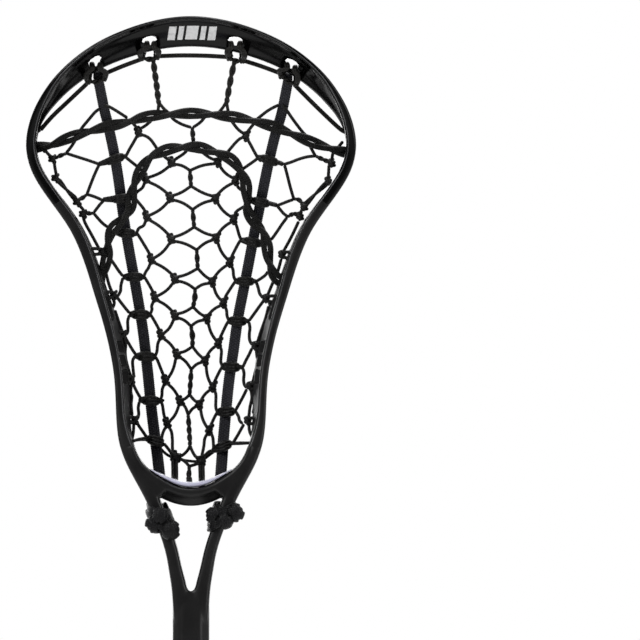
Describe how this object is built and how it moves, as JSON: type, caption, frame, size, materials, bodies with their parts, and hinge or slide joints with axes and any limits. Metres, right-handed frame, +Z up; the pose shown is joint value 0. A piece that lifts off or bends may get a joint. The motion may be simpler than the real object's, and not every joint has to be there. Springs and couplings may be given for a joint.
{
  "type": "lacrosse stick",
  "caption": "Field lacrosse stick: moulded open-throat head, knotted cord pocket with two woven runners, and an eight-sided tubular handle with a screw and butt cap.",
  "frame": {"origin": "centre of the butt cap's end face, on the axis of the handle", "axes": "+Z up the handle towards the scoop; -Y is the open face of the head, that the ball enters; X is across the head"},
  "size_m": [0.1792, 0.0711, 1.09],
  "materials": {
    "head_nylon": "moulded nylon, satin outside and glossy inside the scoop",
    "pad_foam": "smooth closed-cell foam",
    "runner_web": "woven nylon webbing",
    "flat_lace": "flat braided lace",
    "lacing_cord": "braided nylon cord",
    "screw_steel": "zinc plated",
    "handle_composite": "carbon weave under a clear coat, grey print",
    "cap_rubber": "matt rubber"
  },
  "bodies": {
    "stick": {"head_frame": "head_nylon", "ball_stop_pad": "pad_foam", "runner_left": "runner_web", "runner_right": "runner_web", "shooting_string_upper": "flat_lace", "shooting_string_lower": "flat_lace", "sidewall_string_left": "lacing_cord", "sidewall_string_right": "lacing_cord", "top_string": "lacing_cord", "top_hanger_left": "lacing_cord", "top_hanger_right": "lacing_cord", "cross_lacing": "lacing_cord", "bottom_string": "lacing_cord", "stop_tie_left": "lacing_cord", "stop_tie_centre": "lacing_cord", "stop_tie_right": "lacing_cord", "throat_knot_left": "runner_web", "throat_knot_right": "runner_web", "handle_tube": "handle_composite"},
    "screw": {"head_screw": "screw_steel"},
    "cap": {"butt_cap": "cap_rubber"}
  },
  "joints": [
    {"name": "screw_withdraw", "type": "slide", "parent": "stick", "child": "screw", "axis": [0, 1, 0], "range_m": [0, 0.012]},
    {"name": "cap_pull", "type": "slide", "parent": "stick", "child": "cap", "axis": [0, 0, -1], "range_m": [0, 0.03]}
  ]
}
